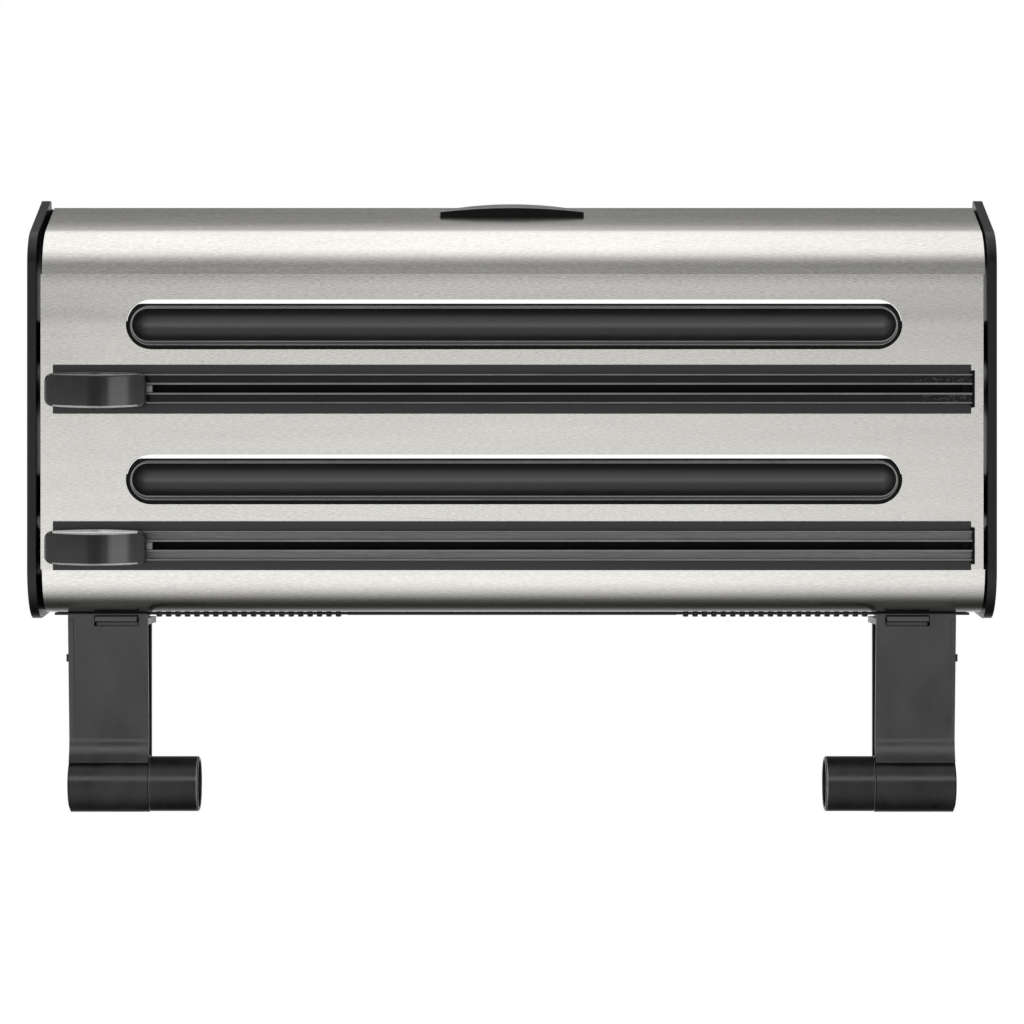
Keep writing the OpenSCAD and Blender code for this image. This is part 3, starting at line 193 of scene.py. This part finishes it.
looks = {  # colours in sRGB, sizes of the pattern in mm along X, Y and Z
    # stainless sheet, brushed along its length: short streaks that spread every highlight up and down.
    # real streaks are about 0.05 mm high, and are drawn 0.32 mm high, or they wouldn't show
    "brushedStainless": {
        "dark": "#bdbcb8", "light": "#dddbd6", "metallic": 1.0, "roughness": (0.17, 0.23),
        "grain": (2.2, 0.32, 0.32), "cloud": (60, 5, 5), "grainShare": 0.8, "grainDetail": 2.0,
        "relief": 0.9, "reliefDepth": 0.014,
        # the sheet eases into its upper bend: height in mm, and the surface's lean back there in degrees
        "bow": [(9, 0), (6, -0.5), (4, -2), (2, -4.5), (0, -5), (-2, -2), (-5, 1), (-8, -1), (-11, -2.5),
                (-13.5, -3), (-15, -1.8), (-16.7, 1.5), (-18.5, 0.8), (-21, 0.1), (-34, 0.8), (-37, 0),
                (-41, 0)],
        "bowFrom": (-16.7, 1.85), "bowRadius": 20.0,
    },
    # moulded ABS with a fine satin grain: a deep black with soft highlights along its edges
    "satinAbs": {
        "dark": "#0b0b0c", "light": "#121213", "roughness": (0.26, 0.36), "shine": 0.3,
        "grain": (0.5, 0.5, 0.5), "cloud": (30, 30, 30), "relief": 0.2, "reliefDepth": 0.015,
    },
    # moulded ABS with a pebbled grain of about 1 mm: breaks the groove's highlight into dots
    "pebbledAbs": {
        "dark": "#0c0c0d", "light": "#171718", "roughness": (0.36, 0.46), "shine": 0.55,
        "grain": (0.9, 0.9, 0.9), "cloud": (20, 20, 20), "grainShare": 0.6,
        "relief": 0.5, "reliefDepth": 0.04,
    },
    # extruded rigid PVC: a soft gloss drawn out along the rail by faint die lines
    "extrudedPvc": {
        "dark": "#0f0f10", "light": "#19191a", "roughness": (0.28, 0.38), "shine": 0.55,
        "grain": (40, 0.4, 0.4), "cloud": (80, 4, 4), "grainShare": 0.6,
        "relief": 0.3, "reliefDepth": 0.01,
    },
    # the floors of the upper rail's grooves, polished by use: mirror black, scuffed near the far stop
    "polishedPvc": {
        "dark": "#060606", "light": "#0a0a0a", "roughness": (0.12, 0.2), "shine": 0.22,
        "grain": (40, 0.5, 0.5), "cloud": (60, 4, 4),
        "relief": 0.1, "reliefDepth": 0.005, "scuff": (140, 184),
    },
    # the lower rail's groove floors painted grey: a painted reflection of light on the glossy floors, which
    # are the same extrusion as the upper rail's
    "paintedReflectionPvc": {
        "dark": "#6c6c6d", "light": "#929292", "roughness": (0.25, 0.4), "shine": 0.4,
        "grain": (6, 0.5, 0.5), "cloud": (40, 2, 2), "grainShare": 0.5,
        "relief": 0.2, "reliefDepth": 0.01,
    },
    # the mould's matt skin, made darker and duller than the other blacks as painted shade: put in recesses,
    # on the rails' top and bottom faces and ends, and on the button's front. A black without reflections
    "mattSkinAndShade": {
        "dark": "#060606", "light": "#0a0a0a", "roughness": (0.6, 0.75), "shine": 0.15,
        "grain": (0.8, 0.8, 0.8), "cloud": (30, 30, 30), "relief": 0.2, "reliefDepth": 0.02,
    },
    # pale grey and smoother on edges and rims: a painted highlight, a thin line of light along each edge
    "paintedEdgeHighlight": {
        "dark": "#5a5a5a", "light": "#7c7c7b", "roughness": (0.2, 0.3), "shine": 0.7,
        "grain": (3, 0.5, 0.5), "cloud": (25, 5, 5), "relief": 0.1, "reliefDepth": 0.01,
    },
    # polished moulded ABS: clear reflections with a slight orange peel
    "glossAbs": {
        "dark": "#0c0c0c", "light": "#131313", "roughness": (0.2, 0.28), "shine": 0.4,
        "grain": (2.5, 2.5, 2.5), "cloud": (12, 12, 12), "relief": 0.06, "reliefDepth": 0.02,
    },
    # moulded nylon arms: charcoal, smooth satin with cloudy flow marks
    "satinNylon": {
        "dark": "#0a0a0a", "light": "#202020", "roughness": (0.26, 0.36), "shine": 0.25,
        "grain": (0.6, 0.6, 0.6), "cloud": (13, 13, 20), "grainShare": 0.08,
        "relief": 0.1, "reliefDepth": 0.012,
    },
    # natural grey acetal of the sliding shoes: waxy, even
    "greyAcetal": {
        "dark": "#8c8e91", "light": "#a2a4a7", "roughness": (0.35, 0.45),
        "grain": (1, 1, 1), "cloud": (8, 8, 8), "relief": 0.15, "reliefDepth": 0.02,
    },
    # ground blade steel: short grinding marks across the edge
    "groundSteel": {
        "dark": "#a9aaab", "light": "#c6c7c8", "metallic": 1.0, "roughness": (0.2, 0.32),
        "grain": (0.3, 3, 3), "cloud": (6, 6, 6), "grainShare": 0.7,
        "relief": 0.2, "reliefDepth": 0.01,
    },
    # zinc plated steel of screws, pins and springs: pale, faintly mottled
    "zincSteel": {
        "dark": "#a3a39f", "light": "#bcbcb8", "metallic": 1.0, "roughness": (0.3, 0.42),
        "grain": (0.5, 0.5, 0.5), "cloud": (3, 3, 3), "relief": 0.2, "reliefDepth": 0.01,
    },
    # black passivated zinc of the screws in the cheeks: a dull dark metal that keeps them quiet on the black
    "blackZinc": {
        "dark": "#1c1c1d", "light": "#2b2b2c", "metallic": 1.0, "roughness": (0.35, 0.45),
        "grain": (0.5, 0.5, 0.5), "cloud": (3, 3, 3), "relief": 0.2, "reliefDepth": 0.01,
    },
}
finishes = {name: makeFinish(name, look) for name, look in looks.items()}
print("finishes made:", len(finishes))


# pieces

def sharpenFolds(bm):  # smooth shading that stops at the folds
    for face in bm.faces:
        face.smooth = True
    for edge in bm.edges:
        edge.smooth = edge.is_manifold and edge.calc_face_angle(0) < foldLimit


# each lamp lights one of these groups. The arms are told by their finish, the others by their names
lampGroups = {name: bpy.data.collections.new(name) for name in ("covers", "arms", "knobs", "troughs")}
litByName = {"covers": ("_arm_cover", "_pawl"), "knobs": ("_knob",), "troughs": ("_trough",)}
flatWeight = 80  # how far flat faces win over bevels in the shading


def bodyOf(node):
    return next(body for body, names in frame["record"]["behaviour"]["bodies"].items() if node in names)


def addPiece(node, bm, coats, soften=0.0, edge=None):  # shows a CAD node's piece, mostly in its first coat
    sharpenFolds(bm)
    name = node + ".shown"
    mesh = bpy.data.meshes.new(name)
    bm.to_mesh(mesh)
    bm.free()
    for coat in coats:
        mesh.materials.append(finishes[coat])
    piece = bpy.data.objects.new(name, mesh)
    bpy.context.scene.collection.objects.link(piece)
    if soften:
        bevel = piece.modifiers.new("softEdges", "BEVEL")
        bevel.width = soften * mm
        bevel.segments = 2
        bevel.limit_method = "ANGLE"
        bevel.angle_limit = foldLimit
        bevel.use_clamp_overlap = True
        bevel.miter_outer = "MITER_ARC"
        if edge:
            bevel.material = len(mesh.materials)
            mesh.materials.append(finishes[edge])
    weighted = piece.modifiers.new("flatFaces", "WEIGHTED_NORMAL")
    weighted.keep_sharp = True
    weighted.weight = flatWeight
    if coats[0] == "satinNylon":
        lampGroups["arms"].objects.link(piece)
    for group, words in litByName.items():
        if any(word in name for word in words):
            lampGroups[group].objects.link(piece)
    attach(piece, bodyOf(node))
    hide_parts(node)
    return piece


merge = {"gap": 0.002, "bend": 0.3}  # mm and degrees


def cadMesh(node):  # a merged copy of a CAD node's mesh, with its flat faces made whole
    bm = bmesh.new()
    bm.from_mesh(frame["nodes"][node].data)
    bmesh.ops.remove_doubles(bm, verts=bm.verts, dist=merge["gap"] * mm)
    bmesh.ops.dissolve_limit(bm, angle_limit=radians(merge["bend"]), verts=bm.verts, edges=bm.edges)
    return bm


# CAD shapes that are right and get softened edges: node, finish and edge radius in mm
softened = {
    "steel_fascia": ("brushedStainless", 0.12),
    "left_cheek": ("satinAbs", 0.4),
    "right_cheek": ("satinAbs", 0.4),
    "upper_rail_ends": ("mattSkinAndShade", 0.15),
    "lower_rail_ends": ("mattSkinAndShade", 0.15),
    "upper_cutter_shoe": ("greyAcetal", 0.2),
    "lower_cutter_shoe": ("greyAcetal", 0.2),
    "toothed_rail": ("satinNylon", 0.15),
    "left_arm_body": ("satinNylon", 0.3),
    "right_arm_body": ("satinNylon", 0.3),
    "left_arm_cover": ("satinNylon", 0.25),
    "right_arm_cover": ("satinNylon", 0.25),
    "left_pawl": ("satinNylon", 0.8),
    "right_pawl": ("satinNylon", 0.8),
    "left_spigot": ("satinNylon", 0.2),
    "right_spigot": ("satinNylon", 0.2),
    "left_spigot_axle": ("satinAbs", 0.2),
    "right_spigot_axle": ("satinAbs", 0.2),
    "top_beam": ("satinAbs", 0.4),
    "rear_frame": ("satinAbs", 0.5),
    "arm_track": ("satinAbs", 0.3),
    "cheek_screws": ("blackZinc", 0.15),
    "upper_roll_cradle": ("satinAbs", 0.4),
    "lower_roll_cradle": ("satinAbs", 0.4),
}
# the spigots' bevelled edges take a pale grey: a painted highlight
edgeFinish = {"left_spigot": "paintedEdgeHighlight", "right_spigot": "paintedEdgeHighlight"}
for node, (finish, soften) in softened.items():
    addPiece(node, cadMesh(node), (finish,), soften, edge=edgeFinish.get(node))


# cutter rails: the CAD section with a finish for each strip, told apart by its depth behind the ridges in mm
rail = {"edge": 0.12, "ridge": 0.2, "grooveFloor": 2.1, "slotFloor": 4.7, "slack": 0.2, "facing": 0.9}


def makeRail(node, floor):
    coats = ("extrudedPvc", floor, "mattSkinAndShade", "paintedEdgeHighlight")
    bm = cadMesh(node)
    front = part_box(node)[0][1]
    # the rails' top and bottom faces and slot floor take a darker black as painted shade, the ridge fronts a
    # pale grey as painted highlight, the groove floors the floor finish
    for face in bm.faces:
        depth = (face.calc_center_median().y - front) / mm
        forward = face.normal.y < -rail["facing"]
        if abs(face.normal.z) > rail["facing"] or abs(depth - rail["slotFloor"]) < rail["slack"]:
            face.material_index = coats.index("mattSkinAndShade")
        elif forward and depth < rail["ridge"]:
            face.material_index = coats.index("paintedEdgeHighlight")
        elif forward and abs(depth - rail["grooveFloor"]) < rail["slack"]:
            face.material_index = coats.index(floor)
    addPiece(node, bm, coats, rail["edge"])


makeRail("upper_cutter_rail", "polishedPvc")
# the lower rail's floor finish is a grey painted reflection
makeRail("lower_cutter_rail", "paintedReflectionPvc")


# cutter knobs: a pad with rounded corners, a saddle for the thumb and a brow along its top. Sizes in mm,
# and places and widths along the knob as shares of its length
knob = {
    "corner": 3.2, "rim": 0.75, "cuts": 24, "saddleAt": 0.57, "saddleLeft": 0.15, "saddleRight": 0.32,
    "saddleDeep": 2.2, "browDrop": 2.1, "browBack": 0.8, "browSharp": 30, "swell": 0.8, "slack": 0.01,
    "rimEnd": 0.07, "rimLean": (0.25, 0.93),
}


def makeKnob(node, rims):  # rims: 1 for a painted highlight on the upper rim, -1 for one on the lower rim
    coats = ("glossAbs", "paintedEdgeHighlight")
    low, high = [Vector(corner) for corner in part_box(node)]
    size, middle = high - low, (high + low) / 2
    bm = bmesh.new()
    bmesh.ops.create_cube(bm, size=1)
    bmesh.ops.scale(bm, verts=bm.verts, vec=size)
    bmesh.ops.translate(bm, verts=bm.verts, vec=middle)
    corners = [edge for edge in bm.edges if abs(edge.verts[0].co.y - edge.verts[1].co.y) > size.y / 2]
    bmesh.ops.bevel(
        bm, geom=corners, offset=knob["corner"] * mm, segments=5, profile=0.5, affect="EDGES", material=-1
    )
    slack = knob["slack"] * mm
    rim = [edge for edge in bm.edges if all(abs(vert.co.y - low.y) < slack for vert in edge.verts)]
    bmesh.ops.bevel(
        bm, geom=rim, offset=knob["rim"] * mm, segments=2, profile=0.5, affect="EDGES", material=-1
    )
    for cut in range(1, knob["cuts"]):
        place = (low.x + size.x * cut / knob["cuts"], 0, 0)
        bmesh.ops.bisect_plane(
            bm, geom=[*bm.verts, *bm.edges, *bm.faces], plane_co=place, plane_no=(1, 0, 0), dist=slack
        )
    for vert in bm.verts:
        along = (vert.co.x - low.x) / size.x
        forward = (high.y - vert.co.y) / size.y  # 0 at the rail, 1 at the front
        upward = (vert.co.z - middle.z) / size.z * 2
        wide = knob["saddleLeft"] if along < knob["saddleAt"] else knob["saddleRight"]
        dip = cos(pi * min(1, abs(along - knob["saddleAt"]) / wide)) / 2 + 0.5
        brow = max(0, sin(pi * along)) * max(0, upward) ** 3
        vert.co.z -= knob["swell"] * mm * (2 * along - 1) ** 2 * upward  # fuller in the middle
        front = forward ** knob["browSharp"]  # 1 on the front alone
        vert.co.z -= knob["browDrop"] * mm * brow * front
        vert.co.y += (knob["saddleDeep"] * dip * forward + knob["browBack"] * brow * (1 - front)) * mm
    bm.normal_update()
    # rim faces that lean up or down take a pale grey: a painted highlight
    for face in bm.faces:
        along = (face.calc_center_median().x - low.x) / size.x
        lean = max(face.normal.z * side for side in rims)
        flat, steep = knob["rimLean"]
        if knob["rimEnd"] < along < 1 - knob["rimEnd"] and flat < lean < steep:
            face.material_index = coats.index("paintedEdgeHighlight")
    addPiece(node, bm, coats)


makeKnob("upper_cutter_knob", (-1,))
makeKnob("lower_cutter_knob", (1, -1))


# film troughs: the CAD groove, its outer ring filled out to the window's upper corners, in mm
trough = {
    "edge": 0.12, "rim": 0.3, "rimSlack": 0.01, "radius": 9.15, "ring": 9.85, "ringMiddle": 145.5,
    "ringLift": 0.75, "bead": 1.2, "beadSlack": 0.2, "ringSlack": 0.1, "slack": 0.05,
    "ringFacing": 0.99, "beadFacing": 0.97,
}


def makeTrough(node):
    coats = ("pebbledAbs", "mattSkinAndShade", "paintedEdgeHighlight", "satinAbs")
    bm = cadMesh(node)
    low, high = [Vector(corner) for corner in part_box(node)]
    middle = (low.x + high.x) / 2
    radius, slack = trough["radius"] * mm, trough["slack"] * mm
    centreZ = high.z - radius
    for vert in bm.verts:
        side = 1 if vert.co.x > middle else -1
        centreX = side * ((high.x - low.x) / 2 - radius) + middle
        reach = Vector((vert.co.x - centreX, vert.co.z - centreZ))
        if reach.x * side > 0 and reach.y > 0 and reach.length > radius - slack:
            turn = atan2(reach.y, reach.x)
            vert.co.x = middle + (side * trough["ringMiddle"] + cos(turn) * trough["ring"]) * mm
            vert.co.z = min(high.z, centreZ + (trough["ringLift"] + sin(turn) * trough["ring"]) * mm)
    # the front rim edges are bevelled in a pale grey: a painted highlight
    rims = [
        edge for edge in bm.edges
        if all(vert.co.y < low.y + trough["rimSlack"] * mm for vert in edge.verts)
        and edge.calc_face_angle(0) > foldLimit
    ]
    bmesh.ops.bevel(
        bm, geom=rims, offset=trough["rim"] * mm, segments=2, profile=0.5, affect="EDGES",
        material=coats.index("paintedEdgeHighlight"),
    )
    # the outer ring and the filled upper corners take a darker black as painted shade
    ringFront = low.y + trough["bead"] * mm
    for face in bm.faces:
        spot = face.calc_center_median()
        facing = -face.normal.y
        onRing = facing > trough["ringFacing"] and abs(spot.y - ringFront) < trough["ringSlack"] * mm
        onBead = facing > trough["beadFacing"] and spot.y < low.y + trough["beadSlack"] * mm
        if onRing or (spot.y > ringFront - slack and spot.z > high.z - slack):
            face.material_index = coats.index("mattSkinAndShade")
        elif onBead:
            face.material_index = coats.index("satinAbs")
    addPiece(node, bm, coats, trough["edge"])


makeTrough("upper_film_trough")
makeTrough("lower_film_trough")


# release button: the CAD pad with its front edge rolled over above its foot, in mm
button = {"roll": 0.9, "edge": 0.2, "foot": 5, "slack": 0.02, "facing": 0.9}
coats = ("glossAbs", "paintedEdgeHighlight", "mattSkinAndShade")
bm = cadMesh("release_button")
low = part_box("release_button")[0]
rolled = [
    edge for edge in bm.edges
    if all(
        vert.co.y < low[1] + button["slack"] * mm and vert.co.z > low[2] + button["foot"] * mm
        for vert in edge.verts
    )
]
# the roll takes a pale grey: a painted highlight along the crest
bmesh.ops.bevel(
    bm, geom=rolled, offset=button["roll"] * mm, segments=3, profile=0.5, affect="EDGES",
    material=coats.index("paintedEdgeHighlight"), clamp_overlap=True,
)
bm.normal_update()
# the front faces take a darker black: painted shade
for face in bm.faces:
    if face.normal.y < -button["facing"]:
        face.material_index = coats.index("mattSkinAndShade")
addPiece("release_button", bm, coats, button["edge"])

# button springs: they stand on the guide, and get a mesh of their own
springs = addPiece("button_springs", cadMesh("button_springs"), ("zincSteel",))
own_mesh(springs)

# CAD shapes inside the body stay as they are and get a finish
insides = {
    "satinAbs": ["cover_liner", "left_end_bracket", "right_end_bracket", "button_guide", "latch_hook"],
    "satinNylon": ["left_arm_slider", "right_arm_slider"],
    "groundSteel": ["upper_cutter_blade", "lower_cutter_blade"],
    "zincSteel": [
        "rack_screws", "trough_screws", "upper_knob_pins", "lower_knob_pins", "left_slider_screws",
        "right_slider_screws", "left_hinge_pin", "right_hinge_pin",
    ],
}
for finish, names in insides.items():
    for node in names:
        frame["nodes"][node].data.materials.clear()
        frame["nodes"][node].data.materials.append(finishes[finish])


# camera, light and floor

shot = {"place": (0, -1.595, -0.112), "lens": 131.84}
camera = bpy.data.objects.new("camera", bpy.data.cameras.new("camera"))
camera.data.lens = shot["lens"]
camera.data.sensor_width = 36
camera.location = shot["place"]
camera.rotation_euler = (radians(90), 0, 0)
bpy.context.scene.collection.objects.link(camera)
bpy.context.scene.camera = camera
bpy.context.scene.view_settings.view_transform = "Standard"

# brightness of the studio by height in degrees: 0 is straight ahead of the front, 90 overhead, 180 behind it.
# A colour ramp holds no more than 1, so both ramps are divided by a strength that comes back afterwards
studio = {
    "strength": 2.2,
    "stops": [
        (-180, 1.1), (-165, 1.0), (-145, 0.3), (-124, 0.04), (-105, 0.05), (-90, 0.14), (-76, 0.5),
        (-63, 0.9), (-51, 1.2), (-40, 1.4), (-29, 1.5), (-10, 1.45), (0, 1.4), (2.2, 1.22),
        (4, 0.55), (8, 0.4), (17, 0.38), (26, 0.46), (36, 0.75), (46, 1.15), (55, 1.45), (66, 1.6),
        (77, 1.6), (102, 1.6), (117, 1.5), (128, 1.1), (134, 0.6), (138, 0.28), (143, 0.17),
        (150, 0.15), (162, 0.3), (172, 0.9),
    ],
    "sides": [(-1, 0.7), (-0.5, 1.0), (-0.3, 1.15), (-0.12, 0.88), (-0.05, 0.94), (0, 1.07), (0.05, 0.95),
              (0.12, 0.86), (0.3, 0.6), (1, 0.4)],
    "sideStrength": 2,
}
world = bpy.data.worlds.new("studio")
bpy.context.scene.world = world
world.use_nodes = True
tree = world.node_tree
tree.nodes.clear()
direction = addNode(tree, "ShaderNodeTexCoord").outputs["Generated"]
axes = addNode(tree, "ShaderNodeSeparateXYZ", links={"Vector": direction}).outputs
ahead = addNode(tree, "ShaderNodeMath", {"operation": "MULTIPLY", 1: -1.0}, {0: axes["Y"]}).outputs[0]
turn = addNode(tree, "ShaderNodeMath", {"operation": "ARCTAN2"}, {0: axes["Z"], 1: ahead}).outputs[0]
share = addNode(
    tree, "ShaderNodeMapRange", {"From Min": -pi, "From Max": pi}, {"Value": turn}
).outputs["Result"]
ramp = addNode(tree, "ShaderNodeValToRGB", links={"Fac": share})
colourStops(ramp, [
    ((angle + 180) / 360, (*[value / studio["strength"]] * 3, 1.0)) for angle, value in studio["stops"]
])
across = addNode(
    tree, "ShaderNodeMapRange", {"From Min": -1.0, "From Max": 1.0}, {"Value": axes["X"]}
).outputs["Result"]
sideRamp = addNode(tree, "ShaderNodeValToRGB", links={"Fac": across})  # the shot is brighter from the left
colourStops(sideRamp, [
    ((x + 1) / 2, (*[value / studio["sideStrength"]] * 3, 1.0)) for x, value in studio["sides"]
])
power = addNode(
    tree, "ShaderNodeMath", {"operation": "MULTIPLY", 1: studio["strength"] * studio["sideStrength"]},
    {0: sideRamp.outputs["Color"]},
)
lit = addNode(
    tree, "ShaderNodeBackground", links={"Color": ramp.outputs["Color"], "Strength": power.outputs[0]}
)
seen = addNode(tree, "ShaderNodeBackground", {"Color": (1, 1, 1, 1), "Strength": 1.0})
rays = addNode(tree, "ShaderNodeLightPath").outputs["Is Camera Ray"]
both = addNode(
    tree, "ShaderNodeMixShader", links={0: rays, 1: lit.outputs[0], 2: seen.outputs[0]}
)
addNode(tree, "ShaderNodeOutputWorld", links={"Surface": both.outputs[0]})

# lamps for the black plastics: place, width and height in metres, radiance, and the group that each lights
lampAim = Vector((0, -0.09, -0.11))
lamps = {
    "frontLamp": ((0, -2.0, -0.3), 3.0, 0.4, 4.6, "covers"),
    "grooveLamp": ((0, -2.0, 0.1), 3.0, 0.8, 2.2, "troughs"),
    "bossLamp": ((0, -1.85, 0.6), 3.0, 0.4, 7.0, "arms"),
    "sideLamp": ((-1.3, -1.8, -0.1), 0.8, 0.8, 3.0, "knobs"),
    "upperLamp": ((0, -0.95, 1.05), 2.4, 0.5, 7.0, "knobs"),
    "lowerLamp": ((0, -0.6, -1.1), 2.4, 0.3, 8.0, "knobs"),
}
for name, (place, wide, tall, radiance, group) in lamps.items():
    lamp = bpy.data.lights.new(name, "AREA")
    lamp.shape = "RECTANGLE"
    lamp.size, lamp.size_y = wide, tall
    lamp.energy = radiance * pi * wide * tall
    holder = bpy.data.objects.new(name, lamp)
    holder.location = place
    aim = lampAim - Vector(place)
    holder.rotation_euler = aim.to_track_quat("-Z", "Y").to_euler()
    bpy.context.scene.collection.objects.link(holder)
    holder.light_linking.receiver_collection = lampGroups[group]

# floor: far enough down to stay out of the shot, in metres
ground = {"size": 2, "height": -1.2, "colour": "#e8e8e8", "roughness": 0.9}
bm = bmesh.new()
bmesh.ops.create_grid(bm, x_segments=1, y_segments=1, size=ground["size"])
bmesh.ops.translate(bm, verts=bm.verts, vec=(0, 0, ground["height"]))
floorMesh = bpy.data.meshes.new("floor")
bm.to_mesh(floorMesh)
bm.free()
floor = bpy.data.objects.new("floor", floorMesh)
bpy.context.scene.collection.objects.link(floor)
paint = bpy.data.materials.new("palePaint")
paint.use_nodes = True
coat = paint.node_tree.nodes["Principled BSDF"]
coat.inputs["Base Color"].default_value = linearColour(ground["colour"])
coat.inputs["Roughness"].default_value = ground["roughness"]
floorMesh.materials.append(paint)
floor.visible_glossy = False
print("camera, light and floor set")
